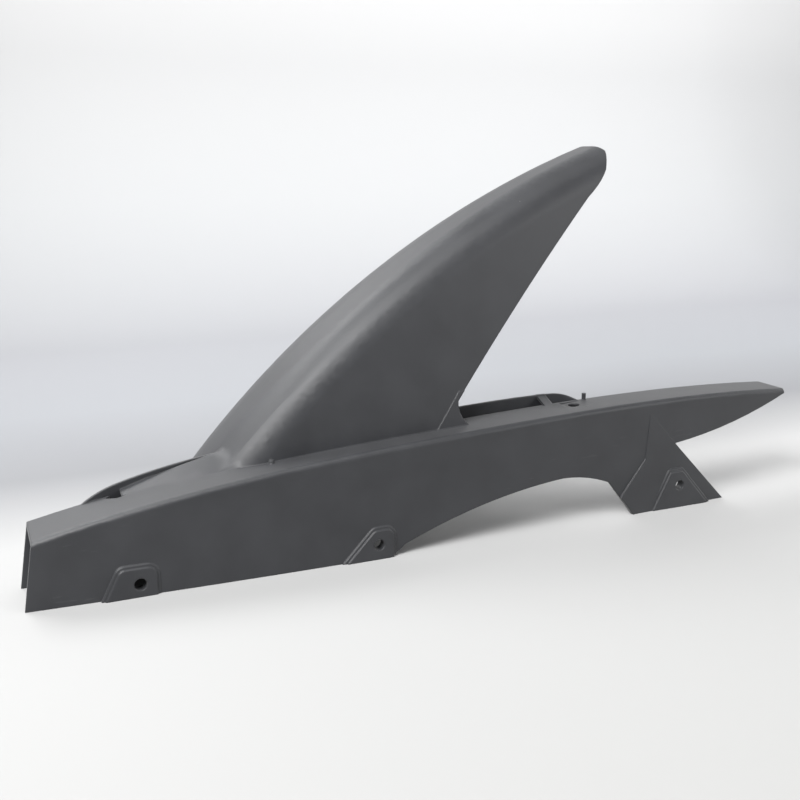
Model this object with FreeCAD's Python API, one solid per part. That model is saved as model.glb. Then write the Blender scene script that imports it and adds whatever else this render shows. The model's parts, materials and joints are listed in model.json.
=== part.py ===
import FreeCAD, Part
import math
import os

# Motorcycle chain guard with a wheel hugger, moulded as one piece.
# X runs from the front end to the tail, Y inboard from the outer wall, Z up from the table.
# All sizes are in millimetres and all angles in degrees.

# Moulding
WALL = 2.5
TOP_EDGE_R = 4.0

# Guard channel
TAIL_X = 663.0
FRONT_RAKE = 7.5
WALL_BOW = 8.5
FRONT_WIDTH = 45.0
WAIST_WIDTH = 37.5
WAIST_X = 380.0
TAIL_WIDTH = 34.0
TOP_LINE = [(-20, 41.5), (80, 64.6), (200, 81.3), (330, 91.5), (510, 98.3), (TAIL_X + 37, 90.0)]

# Lower edge of the outer wall
HEEL_X = 267.0
ARCH_CREST_FROM_LEG = 73.0
ARCH_CREST_Z = 42.3
LEG_WIDTH = 101.0
LEG_FROM_TAIL = 69.0
LEG_NOTCH_Z = 32.0
TAIL_NOTCH_Z = 58.0
TAIL_TIP_DEPTH = 4.0
LEG_RISE = 1.8
LEG_PANEL_TOP_Z = 87.0

# Lower edge of the inner wall
INNER_FOOT_X = 120.0
INNER_SKIRT = 22.0

# Bolt holes, their bosses and the stepped pads around them
BOLT_R = 4.5
BOSS_R = 8.0
BORE_LENGTH = 8.5
FRONT_BOLT_X = 76.5
FRONT_BOLT_Z = 9.5
MIDDLE_BOLT_X = 255.0
MIDDLE_BOLT_Z = 11.8
REAR_BOLT_FROM_LEG = 53.0
REAR_BOLT_Z = 20.2
PAD_RISE = 2.4
PAD_STEP = 2.4
PAD_BEVEL = 0.7

# Lip along the inner edge of the top
LIP_START_X = 44.0
LIP_FROM_TAIL = 208.0
LIP_BULGE = 1.0
LIP_RISE = 6.6
LIP_DEPTH = 24.0
TIE_FROM_LIP_END = 34.0
TIE_LENGTH = 8.5

# Small features on the top
TOP_HOLE_FROM_LIP_END = 11.0
TOP_HOLE_Y = 18.0
TOP_HOLE_R = 5.0
PEG_FROM_LIP_END = 6.0
PEG_R = 1.8
PEG_HEIGHT = 5.5
PIP_X = 179.5
PIP_R = 2.4

# Hugger
CROWN_R = 806.6
CROWN_X = 750.1
CROWN_Z = -452.3
NEAR_SIDE_Y = 17.0
FAR_SIDE_Y = 148.0
NEAR_SHOULDER_R = 27.0
CREASE_TOP = 52.0
CREASE_SPAN = 10.0
CREASE_SLOPE = 20.0
CROWN_FLAT = 26.0
SIDE_DRAFT = 4.0
SIDE_DEPTH = 190.0
HOLLOW_FACETS = 7
TAPER_START = 47.0
TAPER_SPAN = 24.8
TIP_TAPER_NEAR = 20.0
TIP_TAPER_FAR = 46.0
TIP_X = 485.0
TIP_Z = 302.0
NOSE_R = 26.0
HEEL_TOP = (333.0, 112.0)
TRAIL_MID = (393.0, 190.0)
TRAIL_TOP = (460.0, 268.0)
SHIELD_Z = 38.0
GUSSET_RISE = 0.7
GUSSET_HEIGHT = 30.0

# Right-hand mounting lug of the hugger
LUG_X = 262.0
LUG_Z = 12.0
LUG_WIDTH = 52.0

V = FreeCAD.Vector
LEG_REAR_X = TAIL_X - LEG_FROM_TAIL
LEG_FRONT_X = LEG_REAR_X - LEG_WIDTH
ARCH_CREST_X = LEG_FRONT_X - ARCH_CREST_FROM_LEG
REAR_BOLT_X = LEG_REAR_X - REAR_BOLT_FROM_LEG
LIP_END_X = TAIL_X - LIP_FROM_TAIL
LIP_Y = FRONT_WIDTH + LIP_BULGE
TIE_X = LIP_END_X - TIE_FROM_LIP_END
TOP_HOLE_X = LIP_END_X - TOP_HOLE_FROM_LIP_END
PEG_X = LIP_END_X + PEG_FROM_LIP_END
X_MIN = TOP_LINE[0][0]
X_MAX = TOP_LINE[-1][0]
DEEP = -140.0
HIGH = 400.0
NEAR = -80.0
FAR = 260.0


def circle_through(a, b, c):
    """Centre and radius of the circle through three points in a plane."""
    d = 2 * (a[0] * (b[1] - c[1]) + b[0] * (c[1] - a[1]) + c[0] * (a[1] - b[1]))
    sq = [p[0] ** 2 + p[1] ** 2 for p in (a, b, c)]
    x = (sq[0] * (b[1] - c[1]) + sq[1] * (c[1] - a[1]) + sq[2] * (a[1] - b[1])) / d
    y = (sq[0] * (c[0] - b[0]) + sq[1] * (a[0] - c[0]) + sq[2] * (b[0] - a[0])) / d
    return x, y, math.hypot(a[0] - x, a[1] - y)


OUTER = circle_through((0, 0), (LEG_REAR_X / 2, -WALL_BOW), (LEG_REAR_X, 0))


def outer_y(x, inset=0.0):
    """Plan line of the outer wall, or of a line that much inside it."""
    return OUTER[1] - math.sqrt((OUTER[2] - inset) ** 2 - (x - OUTER[0]) ** 2)


INNER = circle_through(
    (0, outer_y(0) + FRONT_WIDTH),
    (WAIST_X, outer_y(WAIST_X) + WAIST_WIDTH),
    (TAIL_X, outer_y(TAIL_X) + TAIL_WIDTH),
)


def inner_y(x, inset=0.0):
    """Plan line of the inner wall, or of a line that much inside it."""
    return INNER[1] - math.sqrt((INNER[2] + inset) ** 2 - (x - INNER[0]) ** 2)


def in_side(x, z):
    return V(x, 0, z)


def in_plan(x, y):
    return V(x, y, 0)


def spline(points, place):
    curve = Part.BSplineCurve()
    curve.interpolate([place(*p) for p in points])
    return curve


top_curve = spline(TOP_LINE, in_side)


def top_z(x):
    """Height of the guard's top at a station."""
    low, high = top_curve.FirstParameter, top_curve.LastParameter
    for _ in range(40):
        mid = (low + high) / 2
        if top_curve.value(mid).x < x:
            low = mid
        else:
            high = mid
    return top_curve.value(low).z


def chain(points, place, closed=True):
    """Edges from point to point; ("arc", middle, end) reaches its end on an arc."""
    edges = []
    here = points[0]
    for p in points[1:]:
        if p[0] == "arc":
            edges.append(Part.Arc(place(*here), place(*p[1]), place(*p[2])).toShape())
            here = p[2]
        else:
            edges.append(Part.makeLine(place(*here), place(*p)))
            here = p
    if closed:
        edges.append(Part.makeLine(place(*here), place(*points[0])))
    return edges


def rounded(corners):
    """Chain points of a polygon whose corners (x, z, radius) are rounded."""
    points = []
    count = len(corners)
    for i, (x, z, radius) in enumerate(corners):
        if radius == 0:
            points.append((x, z))
            continue
        here = FreeCAD.Vector(x, z, 0)
        back = FreeCAD.Vector(*corners[i - 1][:2], 0) - here
        ahead = FreeCAD.Vector(*corners[(i + 1) % count][:2], 0) - here
        half = back.getAngle(ahead) / 2
        back.normalize()
        ahead.normalize()
        reach = radius / math.tan(half)
        first = here + back * reach
        last = here + ahead * reach
        bisector = (back + ahead).normalize()
        middle = here + bisector * (radius / math.sin(half) - radius)
        points.append((first.x, first.y))
        points.append(("arc", (middle.x, middle.y), (last.x, last.y)))
    return points


def wire_of(edges):
    return Part.Wire(Part.__sortEdges__(edges))


def side_prism(edges, y0, y1):
    """Solid with a side-view outline, from y0 to y1."""
    solid = Part.Face(wire_of(edges)).extrude(V(0, y1 - y0, 0))
    solid.translate(V(0, y0, 0))
    return solid


def plan_prism(edges, z0, z1):
    """Solid with a plan outline, from z0 to z1."""
    solid = Part.Face(wire_of(edges)).extrude(V(0, 0, z1 - z0))
    solid.translate(V(0, 0, z0))
    return solid


def below_top(drop):
    """Side-view outline of all that lies below the guard's top line."""
    curve = spline([(x, z - drop) for x, z in TOP_LINE], in_side).toShape()
    first = (X_MIN, TOP_LINE[0][1] - drop)
    last = (X_MAX, TOP_LINE[-1][1] - drop)
    return [curve] + chain([last, (X_MAX, DEEP), (X_MIN, DEEP), first], in_side, closed=False)


def plan_arc(line, inset):
    mid = (X_MIN + X_MAX) / 2
    return Part.Arc(*[in_plan(x, line(x, inset)) for x in (X_MIN, mid, X_MAX)]).toShape()


def plan_beside(line, inset, side_y):
    """Plan outline from a wall's line out to side_y."""
    first = (X_MIN, line(X_MIN, inset))
    last = (X_MAX, line(X_MAX, inset))
    return [plan_arc(line, inset)] + chain(
        [first, (X_MIN, side_y), (X_MAX, side_y), last], in_plan, closed=False
    )


def between_walls(inset):
    """Plan outline between the outer and the inner wall."""
    ends = []
    for x in (X_MIN, X_MAX):
        ends.append(Part.makeLine(in_plan(x, outer_y(x, inset)), in_plan(x, inner_y(x, inset))))
    return [plan_arc(outer_y, inset), plan_arc(inner_y, inset)] + ends


def channel_block(inset):
    """Block with the guard's top line and plan."""
    return side_prism(below_top(inset), NEAR, FAR).common(plan_prism(between_walls(inset), DEEP, HIGH))


# Channel: outer wall, top and inner wall, with a rounded outer top edge
channel = channel_block(0.0)
long_edges = []
for edge in channel.Edges:
    box = edge.BoundBox
    if box.XLength > 0.9 * (X_MAX - X_MIN) and box.ZMin > 0:
        long_edges.append(edge)
long_edges.sort(key=lambda edge: edge.BoundBox.YMin)
channel = channel.makeFillet(TOP_EDGE_R, long_edges[:1])
channel = channel.cut(channel_block(WALL))

front_end = chain(
    [
        (FRONT_RAKE * DEEP / top_z(0), DEEP),
        (FRONT_RAKE * HIGH / top_z(0), HIGH),
        (X_MIN - 30, HIGH),
        (X_MIN - 30, DEEP),
    ],
    in_side,
)
tail_end = chain([(TAIL_X, DEEP), (X_MAX + 5, DEEP), (X_MAX + 5, HIGH), (TAIL_X, HIGH)], in_side)

tip_low_z = top_z(TAIL_X) - TAIL_TIP_DEPTH
leg_notch_x = LEG_FRONT_X - 0.8 * LEG_NOTCH_Z
tail_notch_x = LEG_REAR_X - TAIL_NOTCH_Z
heel_end = HEEL_X + 10
arch_mid = heel_end + 0.42 * (ARCH_CREST_X - heel_end)
outer_lower = chain(
    [
        (X_MIN - 5, DEEP),
        (X_MIN - 5, 0),
        (HEEL_X - 3, 0),
        ("arc", (HEEL_X + 4, 3), (heel_end, 8)),
        ("arc", (arch_mid, 28.5), (ARCH_CREST_X, ARCH_CREST_Z)),
        ("arc", (ARCH_CREST_X + 24, ARCH_CREST_Z - 2.7), (leg_notch_x, LEG_NOTCH_Z)),
        (LEG_FRONT_X, 0),
        (LEG_REAR_X, 0),
        (tail_notch_x, TAIL_NOTCH_Z),
        ("arc", ((tail_notch_x + TAIL_X) / 2 + 0.5, TAIL_NOTCH_Z + 11), (TAIL_X, tip_low_z)),
        (X_MAX + 5, tip_low_z),
        (X_MAX + 5, DEEP),
    ],
    in_side,
)
skirt_x = INNER_FOOT_X + (TAIL_X - INNER_FOOT_X) / 3
skirt_end_z = top_z(TAIL_X) - INNER_SKIRT / 2
inner_lower = chain(
    [
        (X_MIN - 5, DEEP),
        (X_MIN - 5, 0),
        (INNER_FOOT_X, 0),
        ("arc", ((INNER_FOOT_X + skirt_x) / 2, INNER_SKIRT), (skirt_x, top_z(skirt_x) - INNER_SKIRT - 4)),
        (TAIL_X, skirt_end_z),
        (X_MAX + 5, skirt_end_z),
        (X_MAX + 5, DEEP),
    ],
    in_side,
)
mid_y = FRONT_WIDTH / 3
channel = channel.cut(side_prism(front_end, NEAR, FAR))
channel = channel.cut(side_prism(tail_end, NEAR, FAR))
channel = channel.cut(side_prism(outer_lower, NEAR, mid_y))
channel = channel.cut(side_prism(inner_lower, mid_y, FAR))

# Opening in the top in front of the ramp
gap_x = LIP_START_X + 17.5
gap = plan_prism(
    chain(
        [
            (gap_x, inner_y(gap_x) - 4),
            (gap_x + 7.5, inner_y(gap_x) - 10),
            (gap_x + 26, inner_y(gap_x) - 8),
            (gap_x + 26, inner_y(gap_x) + 5),
            (gap_x + 5, inner_y(gap_x) + 1),
        ],
        in_plan,
    ),
    top_z(gap_x) - 12,
    HIGH,
)
channel = channel.cut(gap)


# Lip: a low wall that bulges inboard of the top's inner edge
def lip_line(offset):
    return [
        (LIP_START_X, inner_y(LIP_START_X) - offset),
        (LIP_START_X + 34, LIP_Y - offset),
        (LIP_END_X - 150, LIP_Y - 1 - offset),
        (LIP_END_X - 30, LIP_Y - 4 - offset),
        (LIP_END_X - 6, inner_y(LIP_END_X) + 7 - offset),
        (LIP_END_X, inner_y(LIP_END_X) - offset),
    ]


near_line = lip_line(WALL)
far_line = lip_line(0.0)
lip_plan = [spline(near_line, in_plan).toShape(), spline(far_line, in_plan).toShape()]
for i in (0, -1):
    lip_plan.append(Part.makeLine(in_plan(*near_line[i]), in_plan(*far_line[i])))


def over_top(x, rise):
    return x, top_z(x) + rise


lip_top = [
    over_top(LIP_START_X, -0.5),
    over_top(LIP_START_X + 18, 0.8 * LIP_RISE),
    over_top(LIP_START_X + 34, LIP_RISE),
    over_top(LIP_START_X + 160, LIP_RISE),
    over_top(LIP_END_X - 110, LIP_RISE),
    over_top(LIP_END_X - 24, 0.9 * LIP_RISE),
    over_top(LIP_END_X - 6, 0.5 * LIP_RISE),
    over_top(LIP_END_X + 1, -0.5),
]
lip_side = [spline(lip_top, in_side).toShape()] + chain(
    [
        lip_top[-1],
        (lip_top[-1][0], lip_top[-1][1] - LIP_DEPTH),
        (lip_top[0][0], lip_top[0][1] - LIP_DEPTH),
        lip_top[0],
    ],
    in_side,
    closed=False,
)
lip = plan_prism(lip_plan, DEEP, HIGH).common(side_prism(lip_side, NEAR, FAR))

# Tie from the top across to the lip
tie_y = LIP_Y - 4.5
tie_z = top_z(TIE_X)


def across(x):
    return lambda y, z: V(x, y, z)


tie_edges = chain(
    [
        (inner_y(TIE_X) - 2 * WALL, tie_z - 0.4),
        (tie_y, tie_z + LIP_RISE),
        (tie_y, tie_z + LIP_RISE - WALL),
        (inner_y(TIE_X) - 2 * WALL, tie_z - WALL),
    ],
    across(TIE_X),
)
tie = Part.Face(wire_of(tie_edges)).extrude(V(TIE_LENGTH, 0, 0))


# Hugger: a shell swept about the crown's centre, narrowing to the tip
def hugger_section(angle, inset, faceted):
    """Closed wire of the hugger in the plane at that angle above the horizon."""
    taper = max(0.0, (angle - TAPER_START) / TAPER_SPAN) ** 1.6
    crease = min(1.0, max(0.0, (CREASE_TOP - angle) / CREASE_SPAN))
    near = NEAR_SIDE_Y + TIP_TAPER_NEAR * taper
    far = FAR_SIDE_Y - TIP_TAPER_FAR * taper - inset
    far_r = far - near - NEAR_SHOULDER_R - CROWN_FLAT * (1 - 0.5 * taper)
    bend = 1 - math.cos(math.pi / 4)

    def far_turn(share):
        phi = share * math.pi / 2
        return far - far_r * (1 - math.sin(phi)), inset + far_r * (1 - math.cos(phi))

    if faceted:
        far_shoulder = [far_turn(k / HOLLOW_FACETS) for k in range(1, HOLLOW_FACETS + 1)]
    else:
        far_shoulder = [("arc", far_turn(0.5), far_turn(1.0))]

    # The near shoulder turns in two arcs that meet at the crease
    slope = math.radians(45 - (45 - CREASE_SLOPE) * crease)
    side_drop = NEAR_SHOULDER_R + 2 * crease
    crease_y = NEAR_SHOULDER_R * (bend + 0.13 * crease)
    crease_drop = NEAR_SHOULDER_R * (bend - 0.07 * crease)
    lower_r = (crease_y**2 + (side_drop - crease_drop) ** 2) / (2 * crease_y)
    lower_slope = math.asin(1 - crease_y / lower_r)
    upper_r = crease_drop / (1 - math.cos(slope))
    lower_mid = (math.pi / 2 + lower_slope) / 2

    def turn(radius, phi, centre_y, centre_drop):
        return centre_y - (radius - inset) * math.sin(phi), centre_drop - (radius - inset) * math.cos(phi)

    def place(y, drop):
        a = math.radians(angle)
        r = CROWN_R - drop
        return V(CROWN_X - r * math.cos(a), y, CROWN_Z + r * math.sin(a))

    lower = near + lower_r, side_drop
    upper = near + crease_y + upper_r * math.sin(slope), upper_r
    meet = (slope + lower_slope) / 2
    crease_at = near + crease_y + inset * math.sin(meet), crease_drop + inset * math.cos(meet)
    lean = math.tan(math.radians(SIDE_DRAFT)) * (SIDE_DEPTH - side_drop)
    path = [
        (near + inset - lean, SIDE_DEPTH),
        (near + inset, side_drop),
        ("arc", turn(lower_r, lower_mid, *lower), crease_at),
        ("arc", turn(upper_r, slope / 2, *upper), (upper[0], inset)),
        (far - far_r, inset),
        *far_shoulder,
        (far, SIDE_DEPTH),
    ]
    return Part.Wire(chain(path, place))


def hugger_solid(inset, ruled):
    return Part.makeLoft([hugger_section(a, inset, ruled) for a in range(32, 77, 4)], True, ruled)


hugger_hollow = hugger_solid(WALL, True)
hugger = hugger_solid(0.0, False)

# Gusset: a thin raised triangle at the heel of the near side
foot_x = HEEL_TOP[0] + 12.5
foot_z = top_z(foot_x) - WALL
gusset_top = HEEL_TOP[1] + 8
gusset_edges = chain(
    [
        (HEEL_TOP[0] + 1, gusset_top),
        (HEEL_TOP[0] - 19, gusset_top - GUSSET_HEIGHT),
        (HEEL_TOP[0] - 19, foot_z - WALL),
        (foot_x + 5, foot_z - WALL),
        (foot_x + 5, gusset_top),
    ],
    in_side,
)
gusset = side_prism(gusset_edges, NEAR, FRONT_WIDTH).common(hugger_solid(-GUSSET_RISE, False))
hugger = hugger.fuse(gusset).cut(hugger_hollow)

trailing = chain(
    [
        (foot_x, DEEP),
        (foot_x, foot_z),
        ("arc", (HEEL_TOP[0] + 3, foot_z + 9), HEEL_TOP),
        ("arc", TRAIL_MID, TRAIL_TOP),
        ("arc", (TIP_X - 10, TIP_Z - 18), (TIP_X, TIP_Z)),
        ("arc", (TIP_X - 2, TIP_Z + 5), (TIP_X - 9, TIP_Z + 9)),
        (TIP_X - 9, HIGH),
        (X_MAX + 60, HIGH),
        (X_MAX + 60, DEEP),
    ],
    in_side,
)
hugger = hugger.cut(side_prism(trailing, NEAR, FAR))

nose_near = NEAR_SIDE_Y + TIP_TAPER_NEAR - 9
nose_far = FAR_SIDE_Y - TIP_TAPER_FAR + 9
nose_x = TIP_X - NOSE_R
nose_outside = chain(
    rounded(
        [
            (nose_x, nose_near, 0),
            (TIP_X, nose_near, NOSE_R - 0.5),
            (TIP_X, nose_far, NOSE_R - 0.5),
            (nose_x, nose_far, 0),
            (nose_x, FAR, 0),
            (TIP_X + 60, FAR, 0),
            (TIP_X + 60, NEAR, 0),
            (nose_x, NEAR, 0),
        ]
    ),
    in_plan,
)
hugger = hugger.cut(plan_prism(nose_outside, TRAIL_TOP[1] - 40, HIGH))

on_guard = plan_prism(plan_beside(inner_y, WALL / 2, NEAR), DEEP, HIGH)
hugger = hugger.cut(on_guard.common(side_prism(below_top(WALL / 2), NEAR - 10, FAR)))

lug_front = LUG_X - LUG_WIDTH / 2
lug_rear = LUG_X + LUG_WIDTH / 2
far_lower = chain(
    [
        (X_MIN, DEEP),
        (X_MIN, SHIELD_Z),
        (lug_front - 40, SHIELD_Z),
        ("arc", (lug_front - 12, SHIELD_Z - 10), (lug_front, 0)),
        (lug_rear, 0),
        ("arc", (lug_rear + 14, SHIELD_Z + 4), (foot_x + 0.5, foot_z)),
        (X_MAX, foot_z),
        (X_MAX, DEEP),
    ],
    in_side,
)
inboard = plan_prism(plan_beside(inner_y, WALL / 2, FAR), DEEP, HIGH)
hugger = hugger.cut(inboard.common(side_prism(far_lower, NEAR, FAR + 10)))


# Ramp between the top and the lip, running into the foot of the crown
def ramp_section(x, near_y, rise, drop, inset):
    low = top_z(x) - drop
    near = near_y + inset
    far = LIP_Y - WALL / 2
    points = [V(x, near, low), V(x, far, low), V(x, far, top_z(x) + rise - inset), V(x, near, top_z(x))]
    return Part.makePolygon(points + points[:1])


ramp_x = LIP_START_X + 29
ramp_end = ramp_x + 84
ramp = Part.makeLoft(
    [
        ramp_section(ramp_x, inner_y(ramp_x) - 8, 0.25 * LIP_RISE, 1.5, 0.0),
        ramp_section(ramp_x + 50, inner_y(ramp_x + 50) - 10, LIP_RISE, 1.5, 0.0),
        ramp_section(ramp_end, inner_y(ramp_end) - 12, 1.5 * LIP_RISE, 1.5, 0.0),
    ],
    True,
)
ramp = ramp.cut(hugger_hollow)

# Raised leg panel at the rear of the outer wall
leg_mid = (LEG_FRONT_X + LEG_REAR_X) / 2
leg_angle = math.degrees(math.asin((leg_mid - OUTER[0]) / OUTER[2]))
leg_edges = chain(
    [
        (WALL, LEG_PANEL_TOP_Z),
        (0, LEG_PANEL_TOP_Z),
        (-LEG_RISE, 0),
        (-LEG_RISE, -5),
        (WALL, -5),
    ],
    across(leg_mid - LEG_WIDTH),
)
leg_panel = Part.Face(wire_of(leg_edges)).extrude(V(2 * LEG_WIDTH, 0, 0))
leg_panel.rotate(V(leg_mid, 0, 0), V(0, 0, 1), leg_angle)
leg_panel.translate(V(0, outer_y(leg_mid), 0))
panel_x = LEG_REAR_X - LEG_PANEL_TOP_Z
leg_outline = chain(
    [
        (panel_x, LEG_PANEL_TOP_Z + 1),
        (LEG_REAR_X + 5, -5),
        (LEG_FRONT_X - 30, -5),
        (LEG_FRONT_X - 14, 17),
        (LEG_FRONT_X + 11, 48),
    ],
    in_side,
)
leg_panel = leg_panel.common(side_prism(leg_outline, NEAR, FAR)).cut(side_prism(outer_lower, NEAR, FAR))


# Stepped pads with a bored boss behind each
def pad(corners, bolt_x, bolt_z, rise):
    """Pad with its outline and bolt hole centre; returns the pad and the bore's cutter."""
    face_y = outer_y(bolt_x) - rise
    back_y = outer_y(bolt_x) + WALL / 2
    outline = wire_of(chain(rounded(corners), in_side))
    solids = []
    for grow, y in ((0.0, face_y + PAD_RISE / 2), (-PAD_STEP, face_y)):
        wire = outline if grow == 0 else outline.makeOffset2D(grow)
        step = Part.Face(wire).extrude(V(0, back_y - y, 0))
        step.translate(V(0, y, 0))
        rim = [e for e in step.Edges if e.BoundBox.YMax < y + 0.01]
        solids.append(step.makeChamfer(PAD_BEVEL, rim))
    raised = solids[0].fuse(solids[1]).cut(side_prism(outer_lower, NEAR, FAR))
    boss = Part.makeCylinder(BOSS_R, BORE_LENGTH, V(bolt_x, face_y, bolt_z), V(0, 1, 0))
    boss = boss.cut(side_prism(outer_lower, NEAR, FAR))
    behind = Part.makeBox(2 * BOSS_R + 2, BORE_LENGTH, 2 * BOSS_R + 2)
    behind.translate(V(bolt_x - BOSS_R - 1, face_y + PAD_RISE, bolt_z - BOSS_R - 1))
    bore = Part.makeCylinder(BOLT_R, BORE_LENGTH + 2, V(bolt_x, face_y - 1, bolt_z), V(0, 1, 0))
    return raised.fuse(boss.common(behind)), bore


front_pad, front_bore = pad(
    [
        (FRONT_BOLT_X - 31, -8, 0),
        (FRONT_BOLT_X - 15, FRONT_BOLT_Z + 14.5, 8),
        (FRONT_BOLT_X + 14.5, FRONT_BOLT_Z + 14.5, 9),
        (FRONT_BOLT_X + 14.5, -8, 0),
    ],
    FRONT_BOLT_X,
    FRONT_BOLT_Z,
    PAD_RISE,
)
middle_pad, middle_bore = pad(
    [
        (MIDDLE_BOLT_X - 37, -8, 0),
        (MIDDLE_BOLT_X - 4.5, MIDDLE_BOLT_Z + 14.2, 8),
        (MIDDLE_BOLT_X + 15, MIDDLE_BOLT_Z + 14.2, 9),
        (MIDDLE_BOLT_X + 15, -8, 0),
    ],
    MIDDLE_BOLT_X,
    MIDDLE_BOLT_Z,
    PAD_RISE,
)
rear_pad, rear_bore = pad(
    [
        (REAR_BOLT_X - 34, -8, 0),
        (REAR_BOLT_X - 11.5, REAR_BOLT_Z + 15.3, 4),
        (REAR_BOLT_X + 3.7, REAR_BOLT_Z + 15.3, 4),
        (REAR_BOLT_X + 42.5, -8, 0),
    ],
    REAR_BOLT_X,
    REAR_BOLT_Z,
    PAD_RISE + LEG_RISE,
)

# Right-hand lug's boss and bore
lug_boss = Part.makeCylinder(BOSS_R, BORE_LENGTH, V(LUG_X, FAR_SIDE_Y, LUG_Z), V(0, -1, 0))
lug_bore = Part.makeCylinder(BOLT_R, BORE_LENGTH + 2, V(LUG_X, FAR_SIDE_Y + 1, LUG_Z), V(0, -1, 0))

# Small features on the top
top_hole = Part.makeCylinder(TOP_HOLE_R, 20, V(TOP_HOLE_X, TOP_HOLE_Y, top_z(TOP_HOLE_X) - 10), V(0, 0, 1))
seat = side_prism(
    chain(
        [
            (TOP_HOLE_X - 9, top_z(TOP_HOLE_X - 9) - 0.8),
            (TOP_HOLE_X + 13, top_z(TOP_HOLE_X + 13)),
            (TOP_HOLE_X + 13, top_z(TOP_HOLE_X + 13) + 5),
            (TOP_HOLE_X - 9, top_z(TOP_HOLE_X - 9) + 5),
        ],
        in_side,
    ),
    TOP_HOLE_Y - 8,
    TOP_HOLE_Y + 8.5,
)
peg = Part.makeCylinder(
    PEG_R, PEG_HEIGHT + WALL, V(PEG_X, inner_y(PEG_X) - PEG_R, top_z(PEG_X) - WALL), V(0, 0, 1)
)
pip_foot = V(PIP_X, NEAR_SIDE_Y - 1.5, top_z(PIP_X) - WALL / 2)
pip = Part.makeCone(PIP_R, 0.7 * PIP_R, WALL + PIP_R / 2, pip_foot, V(0, 0, 1))

guard = channel
for piece in (hugger, lip, tie, ramp, leg_panel, front_pad, middle_pad, rear_pad, lug_boss, peg, pip):
    guard = guard.fuse(piece)
for space in (front_bore, middle_bore, rear_bore, lug_bore, top_hole, seat):
    guard = guard.cut(space)
guard = guard.removeSplitter()

# The origin is the middle bolt hole's centre on the outside of its pad
guard.translate(V(-MIDDLE_BOLT_X, PAD_RISE - outer_y(MIDDLE_BOLT_X), -MIDDLE_BOLT_Z))

os.makedirs("parts", exist_ok=True)
guard.exportStep("parts/chain_guard.step")
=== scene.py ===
# %% [markdown]
# # A moulded motorcycle chain guard
#
# The real object is one injection moulding in black plastic. A long channel covers the
# chain, and a wheel hugger rises from its top. The CAD model already has every wall, pad
# and hole at its real size, so Blender's work is the finish, the light and the view.
#
# The imported CAD model is loaded first. Its box is kept and printed at the end.

# %% Load the CAD model
import json
import math

import bpy
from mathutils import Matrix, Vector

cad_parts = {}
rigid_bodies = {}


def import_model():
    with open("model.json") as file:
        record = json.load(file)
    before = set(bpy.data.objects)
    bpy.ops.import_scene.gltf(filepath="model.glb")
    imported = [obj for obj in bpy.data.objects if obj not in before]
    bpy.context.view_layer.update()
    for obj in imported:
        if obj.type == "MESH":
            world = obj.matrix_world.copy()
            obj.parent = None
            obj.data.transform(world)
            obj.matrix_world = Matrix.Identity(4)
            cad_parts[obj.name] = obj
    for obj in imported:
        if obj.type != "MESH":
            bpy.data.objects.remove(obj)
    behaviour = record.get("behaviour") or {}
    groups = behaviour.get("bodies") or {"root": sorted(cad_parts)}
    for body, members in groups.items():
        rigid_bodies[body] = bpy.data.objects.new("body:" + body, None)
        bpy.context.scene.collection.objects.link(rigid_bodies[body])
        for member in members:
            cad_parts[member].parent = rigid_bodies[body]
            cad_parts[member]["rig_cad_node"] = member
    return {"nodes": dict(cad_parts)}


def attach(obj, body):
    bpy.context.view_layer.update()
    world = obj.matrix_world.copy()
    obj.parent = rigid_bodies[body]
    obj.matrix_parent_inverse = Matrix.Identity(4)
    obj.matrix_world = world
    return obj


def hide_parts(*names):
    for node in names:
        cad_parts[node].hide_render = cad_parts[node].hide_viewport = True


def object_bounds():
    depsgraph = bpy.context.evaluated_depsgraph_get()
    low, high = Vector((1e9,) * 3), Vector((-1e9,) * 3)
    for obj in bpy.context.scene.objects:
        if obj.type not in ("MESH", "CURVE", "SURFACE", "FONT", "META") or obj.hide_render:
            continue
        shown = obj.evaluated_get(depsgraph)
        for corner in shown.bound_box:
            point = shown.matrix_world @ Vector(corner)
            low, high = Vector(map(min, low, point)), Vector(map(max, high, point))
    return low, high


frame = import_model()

cad_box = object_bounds()
node = frame["nodes"]["chain_guard"]
print("CAD node", node.name, "with", len(node.data.polygons), "triangles")

# %% [markdown]
# The CAD mesh is loose triangles, one patch for each CAD face, so a light that runs over a
# rounded edge would break at every patch. A copy of it is merged by distance, which makes
# one closed skin. The rims of the patches are marked sharp before the merge, because after
# it nothing tells where one CAD face ended: the next step needs these marks. The CAD node
# itself stays as it is, and the copy stands for it in the picture.

# %% One closed skin from the CAD mesh
MERGE_DISTANCE = 0.000002

bpy.ops.object.select_all(action="DESELECT")
node.select_set(True)
bpy.context.view_layer.objects.active = node
bpy.ops.object.duplicate()
moulding = bpy.context.active_object
moulding.name = "guard_moulding"
moulding.data.name = "guard_moulding"
del moulding["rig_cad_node"]
bpy.ops.mesh.customdata_custom_splitnormals_clear()

bpy.ops.object.mode_set(mode="EDIT")
bpy.ops.mesh.select_mode(type="EDGE")
bpy.ops.mesh.select_all(action="DESELECT")
bpy.ops.mesh.select_non_manifold()
bpy.ops.mesh.mark_sharp()
bpy.ops.mesh.select_all(action="SELECT")
bpy.ops.mesh.remove_doubles(threshold=MERGE_DISTANCE)
bpy.ops.object.mode_set(mode="OBJECT")

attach(moulding, "root")
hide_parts("chain_guard")
print("Merged skin:", len(moulding.data.vertices), "vertices")

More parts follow.
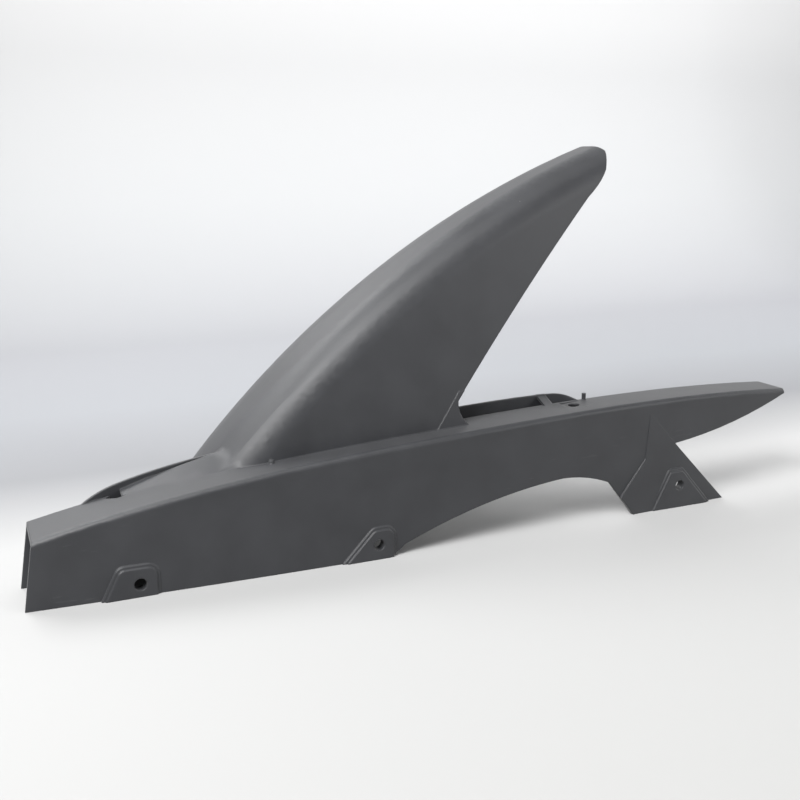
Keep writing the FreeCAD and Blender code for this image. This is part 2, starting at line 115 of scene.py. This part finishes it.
# %% [markdown]
# Smoothing by angle rounds the shading of the hugger and keeps real edges crisp, and
# weighted normals keep the long flat walls flat right up to their edges. Two places need a
# hand.
#
# The crease at the foot of the hugger's near shoulder bends by only 13 to 17 degrees, so
# smoothing alone would wash it out. Of the marked rims, those that bend enough, inside a
# small box around the crease, keep their mark, and all others lose it.
#
# Where the ramp runs into the foot of the crown, the real moulding blends, but the two CAD
# faces meet at 34 to 41 degrees. Inside a second box the marks that smoothing gave to such
# mild edges are cleared, so the shading runs from one face to the other.

# %% Smooth shading, with one crease and one blend
SMOOTH_ANGLE = math.radians(28)
CREASE_ANGLE = math.radians(13)
CREASE_BOX = ((-0.120, 0.034, 0.040), (0.060, 0.044, 0.160))
BLEND_ANGLE = math.radians(50)
RAMP_BOX = ((-0.110, 0.0335, 0.062), (-0.098, 0.060, 0.074))


def select_milder(angle):
    """Selects the edges of the moulding that bend by less than this angle."""
    bpy.ops.object.mode_set(mode="EDIT")
    bpy.ops.mesh.select_all(action="DESELECT")
    bpy.ops.mesh.edges_select_sharp(sharpness=angle)
    bpy.ops.mesh.select_all(action="INVERT")
    bpy.ops.object.mode_set(mode="OBJECT")


def inside(edge, box):
    """True if the middle of this edge of the moulding lies in the box."""
    first, second = (moulding.data.vertices[i].co for i in edge.vertices)
    return all(low < at < high for low, at, high in zip(box[0], (first + second) / 2, box[1]))


select_milder(CREASE_ANGLE)
for edge in moulding.data.edges:
    if edge.select or not inside(edge, CREASE_BOX):
        edge.use_edge_sharp = False
bpy.ops.object.shade_smooth_by_angle(angle=SMOOTH_ANGLE)

select_milder(BLEND_ANGLE)
for edge in moulding.data.edges:
    if edge.select and inside(edge, RAMP_BOX):
        edge.use_edge_sharp = False

bpy.ops.object.modifier_add(type="WEIGHTED_NORMAL")
weighted = moulding.modifiers[-1]
weighted.mode = "FACE_AREA"
weighted.keep_sharp = True
bpy.ops.object.modifier_apply(modifier=weighted.name)
print("Sharp edges:", sum(edge.use_edge_sharp for edge in moulding.data.edges))

# %% [markdown]
# Colours are written as the sRGB hex values that one reads off a screen. Blender's shaders
# work in linear light, so one function turns the hex value to linear. A pattern's scale is
# worked out from its real size in millimetres. One more function adds a node with its
# settings and its links, which keeps each material readable as a list of what it is made
# of. A socket goes by its name there, or by its number as i0, i1 and so on: a Map Range
# takes its value on i0, the range that it comes from on i1 and i2, and the range that it
# goes to on i3 and i4.

# %% Helpers for materials


def linear(hex_colour):
    """An sRGB hex colour as linear RGBA."""
    channels = []
    for i in (1, 3, 5):
        c = int(hex_colour[i:i + 2], 16) / 255
        channels.append(c / 12.92 if c <= 0.04045 else ((c + 0.055) / 1.055) ** 2.4)
    return (*channels, 1.0)


def scale_for(size_mm):
    """The texture scale at which a pattern has this real size."""
    return 1000 / size_mm


def add(tree, kind, settings=None, **sockets):
    """Adds a node. A socket's value is a constant, or an output socket to link from."""
    made = tree.nodes.new(kind)
    for key, value in (settings or {}).items():
        setattr(made, key, value)
    for key, value in sockets.items():
        numbered = key[0] == "i" and key[1:].isdigit()
        socket = made.inputs[int(key[1:]) if numbered else key]
        if isinstance(value, bpy.types.NodeSocket):
            tree.links.new(value, socket)
        else:
            socket.default_value = value
    return made


def new_material(name):
    """A material with an empty node tree, and that tree."""
    material = bpy.data.materials.new(name)
    material.use_nodes = True
    material.node_tree.nodes.clear()
    return material, material.node_tree


print("Mid grey in linear light:", [round(c, 3) for c in linear("#808080")])

# %% [markdown]
# The guard is moulded in black polypropylene, in a tool whose face was spark-eroded to a
# fine grain. That gives the eye a soft dark grey: little direct shine, but a wide pale
# sheen where the surface turns away from us and picks up the bright room.
#
# Three things keep it from looking like a flat colour. Two of them are in its colour: the
# grey is slightly cloudy, and there are a few pale dust specks and short faint rubs, which
# any black plastic shows. About one dust cell in four holds a speck, which is a millimetre
# across. The rubs are stretched noise that shows only in some patches.

# %% Moulded black polypropylene: clouds, dust and rubs
CLOUD_MM = 35.0
DUST_CELL_MM = 29.0
DUST_CORE, DUST_RIM = 0.010, 0.023
DUST_CELLS_LEFT_OUT = 0.72
DUST_STRENGTH = 0.55
RUB_MM = 3.0
RUB_STRETCH = 0.12
RUB_PATCH_MM = 90.0
RUB_STRENGTH = 0.12

plastic, tree = new_material("polypropylene_moulded_black")
place = add(tree, "ShaderNodeTexCoord").outputs["Object"]

cloud = add(
    tree, "ShaderNodeTexNoise", Vector=place, Scale=scale_for(CLOUD_MM), Detail=3.0, Roughness=0.55,
)
tone = add(tree, "ShaderNodeValToRGB", Fac=cloud.outputs["Fac"])
for stop, at, colour in zip(tone.color_ramp.elements, (0.30, 0.72), ("#1F2023", "#27282B")):
    stop.position = at
    stop.color = linear(colour)

specks = add(tree, "ShaderNodeTexVoronoi", Vector=place, Scale=scale_for(DUST_CELL_MM))
speck_size = add(
    tree, "ShaderNodeMapRange", i0=specks.outputs["Distance"],
    i1=DUST_CORE, i2=DUST_RIM, i3=1.0, i4=0.0,
)
few = add(tree, "ShaderNodeSeparateColor", Color=specks.outputs["Color"])
chosen = add(
    tree, "ShaderNodeMath", {"operation": "GREATER_THAN"},
    i0=few.outputs["Red"], i1=DUST_CELLS_LEFT_OUT,
)
dust = add(
    tree, "ShaderNodeMath", {"operation": "MULTIPLY"},
    i0=speck_size.outputs[0], i1=chosen.outputs[0],
)
dust_amount = add(
    tree, "ShaderNodeMath", {"operation": "MULTIPLY"}, i0=dust.outputs[0], i1=DUST_STRENGTH,
)

stretched = add(
    tree, "ShaderNodeMapping", Vector=place,
    Rotation=(0.0, 0.5, 0.2), Scale=(RUB_STRETCH, 1.0, 1.0),
)
rub_lines = add(
    tree, "ShaderNodeTexNoise", Vector=stretched.outputs[0], Scale=scale_for(RUB_MM), Detail=2.0,
)
rub_where = add(tree, "ShaderNodeTexNoise", Vector=place, Scale=scale_for(RUB_PATCH_MM), Detail=1.0)
rub_sharp = add(
    tree, "ShaderNodeMapRange", i0=rub_lines.outputs["Fac"], i1=0.66, i2=0.76, i3=0.0, i4=1.0,
)
rub_patch = add(
    tree, "ShaderNodeMapRange", i0=rub_where.outputs["Fac"],
    i1=0.56, i2=0.68, i3=0.0, i4=RUB_STRENGTH,
)
rubs = add(
    tree, "ShaderNodeMath", {"operation": "MULTIPLY"},
    i0=rub_sharp.outputs[0], i1=rub_patch.outputs[0],
)

rubbed = add(
    tree, "ShaderNodeMix", {"data_type": "RGBA"},
    i0=rubs.outputs[0], i6=tone.outputs["Color"], i7=linear("#6E6F71"),
)
dusted = add(
    tree, "ShaderNodeMix", {"data_type": "RGBA"},
    i0=dust_amount.outputs[0], i6=rubbed.outputs[2], i7=linear("#B9B8B4"),
)
print("Colour nodes:", len(tree.nodes))

# %% [markdown]
# The third thing is a slow waviness, because thin walls shrink a little unevenly as they
# cool. The grain is about 0.4 mm on the real one. At this picture's scale a pixel is nearly
# a millimetre, so it is drawn at 1.1 mm, as coarse as it needs to show. Edges from a mould
# are never sharp, so a bevel node rounds the shading of each edge by 1.5 mm.
#
# A roughness a little over one half spreads the shine, and it follows the clouds, as
# handling leaves it. A thin sheen layer stands for the tips of the grain, which catch light
# at a flat view.

# %% Moulded black polypropylene: grain, soft edges and shine
GRAIN_MM = 1.1
GRAIN_DEPTH = 0.00012
WAVE_MM = 60.0
WAVE_DEPTH = 0.0008
EDGE_RADIUS = 0.0015
SHINIEST, DULLEST = 0.51, 0.56
SHEEN_WEIGHT, SHEEN_ROUGHNESS = 0.11, 0.45

grain = add(
    tree, "ShaderNodeTexNoise", Vector=place, Scale=scale_for(GRAIN_MM), Detail=2.0, Roughness=0.6,
)
wave = add(tree, "ShaderNodeTexNoise", Vector=place, Scale=scale_for(WAVE_MM), Detail=1.0)
soft_edge = add(tree, "ShaderNodeBevel", {"samples": 6}, Radius=EDGE_RADIUS)
wavy = add(
    tree, "ShaderNodeBump", Height=wave.outputs["Fac"], Strength=0.15, Distance=WAVE_DEPTH,
    Normal=soft_edge.outputs[0],
)
grained = add(
    tree, "ShaderNodeBump", Height=grain.outputs["Fac"], Strength=0.35, Distance=GRAIN_DEPTH,
    Normal=wavy.outputs[0],
)
shine = add(
    tree, "ShaderNodeMapRange", i0=cloud.outputs["Fac"], i1=0.3, i2=0.7, i3=SHINIEST, i4=DULLEST,
)

shader = add(
    tree, "ShaderNodeBsdfPrincipled", Roughness=shine.outputs[0], IOR=1.5,
    Normal=grained.outputs[0],
)
shader.inputs["Sheen Weight"].default_value = SHEEN_WEIGHT
shader.inputs["Sheen Roughness"].default_value = SHEEN_ROUGHNESS
tree.links.new(dusted.outputs[2], shader.inputs["Base Color"])
add(tree, "ShaderNodeOutputMaterial", Surface=shader.outputs[0])

moulding.data.materials.clear()
moulding.data.materials.append(plastic)
print("Finish:", plastic.name)

# %% [markdown]
# The guard stands on a pale table with a pale wall a good way behind it. One sweep of white
# board does both: a plane whose far edge is pulled up into a wall, with the fold rounded so
# that no line shows.

# %% Bend the sweep of white board
FLOOR_Z = cad_box[0][2]
SWEEP_X = 0.2
SWEEP_HALF = 2.2
WALL_Y = 1.5
WALL_HEIGHT = 2.4
FOLD_OFFSET = 0.5
NEAR = 0.001


def edit_edges(piece, wanted):
    """Goes into edit mode with just those edges selected whose ends pass the test."""
    bpy.ops.object.mode_set(mode="EDIT")
    bpy.ops.mesh.select_mode(type="EDGE")
    bpy.ops.mesh.select_all(action="DESELECT")
    bpy.ops.object.mode_set(mode="OBJECT")
    for edge in piece.data.edges:
        edge.select = all(wanted(piece.data.vertices[i].co) for i in edge.vertices)
    bpy.ops.object.mode_set(mode="EDIT")


bpy.ops.object.select_all(action="DESELECT")
bpy.ops.mesh.primitive_plane_add(
    size=2 * SWEEP_HALF, location=(SWEEP_X, WALL_Y - SWEEP_HALF, FLOOR_Z),
)
sweep = bpy.context.active_object
sweep.name = "white_board_sweep"
bpy.ops.object.transform_apply(location=True, rotation=True, scale=True)

edit_edges(sweep, lambda end: abs(end.y - WALL_Y) < NEAR)
bpy.ops.mesh.extrude_region_move(TRANSFORM_OT_translate={"value": (0.0, 0.0, WALL_HEIGHT)})
edit_edges(sweep, lambda end: abs(end.y - WALL_Y) < NEAR and abs(end.z - FLOOR_Z) < NEAR)
bpy.ops.mesh.bevel(offset=FOLD_OFFSET, segments=24, affect="EDGES")
bpy.ops.mesh.select_all(action="SELECT")
bpy.ops.mesh.normals_make_consistent(inside=False)
bpy.ops.object.mode_set(mode="OBJECT")
bpy.ops.object.shade_smooth()
print("Table height", round(FLOOR_Z, 4), "m")

# %% [markdown]
# The board is matt card with a faint fibre. The pale background is its own colour, so that
# no extra light is needed on the black plastic. Light and shade are also painted into its
# grey along the board, floor first and then up the wall: painted light is palest high on the
# wall, and painted shade is deepest where the table ends. Painted shade also makes it darker
# on the left, next to the main lamp, than on the right, which evens out that lamp's light.

# %% Matt white card
FIBRE_MM = 2.0
TONES_FROM, TONES_TO = -0.4, 2.6
# Painted light and shade along the board: each place along it, in metres, and its grey.
BOARD_PAINTED_LIGHT_AND_SHADE = [
    (-0.40, "#9E9E9D"), (0.12, "#ACACAC"), (0.30, "#858689"), (0.55, "#94969A"),
    (0.95, "#9C9DA1"), (1.60, "#B5B6B7"), (2.10, "#C2C2C2"),
]
# Painted shade across the board, from this value on the left to that on the right.
LEFT_X, LEFT_VALUE = -0.3, 0.75
RIGHT_X, RIGHT_VALUE = 1.5, 1.35

board, tree = new_material("card_matt_white")
place = add(tree, "ShaderNodeTexCoord").outputs["Object"]
fibre = add(tree, "ShaderNodeTexNoise", Vector=place, Scale=scale_for(FIBRE_MM), Detail=2.0)
board_bump = add(
    tree, "ShaderNodeBump", Height=fibre.outputs["Fac"], Strength=0.08, Distance=0.0001,
)

axes = add(tree, "ShaderNodeSeparateXYZ", Vector=place)
along = add(
    tree, "ShaderNodeMath", {"operation": "ADD"}, i0=axes.outputs["Y"], i1=axes.outputs["Z"],
)
share = add(
    tree, "ShaderNodeMapRange", i0=along.outputs[0], i1=TONES_FROM, i2=TONES_TO, i3=0.0, i4=1.0,
)
shade = add(tree, "ShaderNodeValToRGB", Fac=share.outputs[0])
while len(shade.color_ramp.elements) < len(BOARD_PAINTED_LIGHT_AND_SHADE):
    shade.color_ramp.elements.new(0.5)
for stop, (at, colour) in zip(shade.color_ramp.elements, BOARD_PAINTED_LIGHT_AND_SHADE):
    stop.position = (at - TONES_FROM) / (TONES_TO - TONES_FROM)
    stop.color = linear(colour)

# Painted shade across the board: darker on the left next to the main lamp, paler on the right, to
# even out the lamp's light.
across = add(
    tree, "ShaderNodeMapRange", i0=axes.outputs["X"],
    i1=LEFT_X, i2=RIGHT_X, i3=LEFT_VALUE, i4=RIGHT_VALUE,
)
even = add(
    tree, "ShaderNodeHueSaturation", Value=across.outputs[0], Color=shade.outputs["Color"],
)
board_shader = add(
    tree, "ShaderNodeBsdfPrincipled", Roughness=0.75, Normal=board_bump.outputs[0],
)
tree.links.new(even.outputs[0], board_shader.inputs["Base Color"])
add(tree, "ShaderNodeOutputMaterial", Surface=board_shader.outputs[0])
sweep.data.materials.append(board)
print("Board:", board.name)

# %% [markdown]
# The light is that of a small product table. The main soft box stands high at the front
# left and puts the wide highlight along the hugger's shoulder. One behind on the left makes
# the tops much paler than the walls. A weak one overhead lifts the hugger's tip, and two
# weak ones on the right lift its upper panel and the pads' right-hand corners. The last one
# faces the wall behind and hardly reaches the guard. An even pale room fills the rest. The
# boxes are large and near, so the shadow is soft and hugs the guard's lower edge.

# %% Soft studio light
# name, place, the point it faces, width and height in metres, power in watts
SOFT_BOXES = [
    ("key_box", (-0.94, -0.64, 1.26), (0.0, 0.03, 0.13), 0.85, 0.75, 59.0),
    ("over_box", (0.20, -0.35, 1.75), (0.10, 0.05, 0.10), 1.2, 0.8, 7.0),
    ("top_box", (-0.64, 0.84, 1.14), (-0.05, 0.03, 0.12), 1.1, 0.6, 20.5),
    ("side_box", (1.30, -1.30, 0.70), (0.25, 0.0, 0.20), 0.6, 0.6, 13.0),
    ("right_box", (1.70, 0.15, 0.60), (0.20, 0.0, 0.10), 0.6, 0.6, 5.0),
    ("backdrop_box", (1.10, 0.85, 1.75), (1.10, 1.5, 1.35), 2.5, 0.5, 22.0),
]
ROOM_COLOUR = "#F2F3F5"
ROOM_STRENGTH = 0.24

for name, stand, aim, width, height, power in SOFT_BOXES:
    bpy.ops.object.light_add(type="AREA", location=stand)
    lamp = bpy.context.active_object
    lamp.name = name
    lamp.data.shape = "RECTANGLE"
    lamp.data.size = width
    lamp.data.size_y = height
    lamp.data.energy = power
    way = [a - s for a, s in zip(aim, stand)]
    flat = math.hypot(way[0], way[1])
    lamp.rotation_euler = (math.atan2(flat, -way[2]), 0.0, math.atan2(-way[0], way[1]))

world = bpy.data.worlds.new("pale_room")
bpy.context.scene.world = world
world.use_nodes = True
world.node_tree.nodes.clear()
room = add(
    world.node_tree, "ShaderNodeBackground", Color=linear(ROOM_COLOUR), Strength=ROOM_STRENGTH,
)
add(world.node_tree, "ShaderNodeOutputWorld", Surface=room.outputs[0])

# %% [markdown]
# The camera's place was worked out from the object itself: the straight lower edge, the
# upright front end and the row of bolt holes fix how far it turns and tilts. It looks
# 23.6 degrees towards the tail and 13.7 degrees down, through a 45 mm lens on a 36 mm
# frame.

# %% Camera
CAMERA_PLACE = (-0.2720, -0.6615, 0.2886)
LOOK_DOWN = math.radians(13.72)
LOOK_RIGHT = math.radians(23.60)
LENS_MM, FRAME_MM = 45.0, 36.0

bpy.ops.object.camera_add(
    location=CAMERA_PLACE, rotation=(math.radians(90) - LOOK_DOWN, 0.0, -LOOK_RIGHT),
)
camera = bpy.context.active_object
camera.name = "photo_view"
camera.data.lens = LENS_MM
camera.data.sensor_width = FRAME_MM
camera.data.clip_start = 0.01
bpy.context.scene.camera = camera
bpy.context.scene.view_settings.view_transform = "Standard"
print("Camera at", [round(v, 4) for v in camera.location])

# %% [markdown]
# Last, the CAD model's box is printed. The visual model's box must be the same, because Blender
# only dresses the part.

# %% Print the CAD box
print("CAD box", [[round(v, 4) for v in corner] for corner in cad_box])
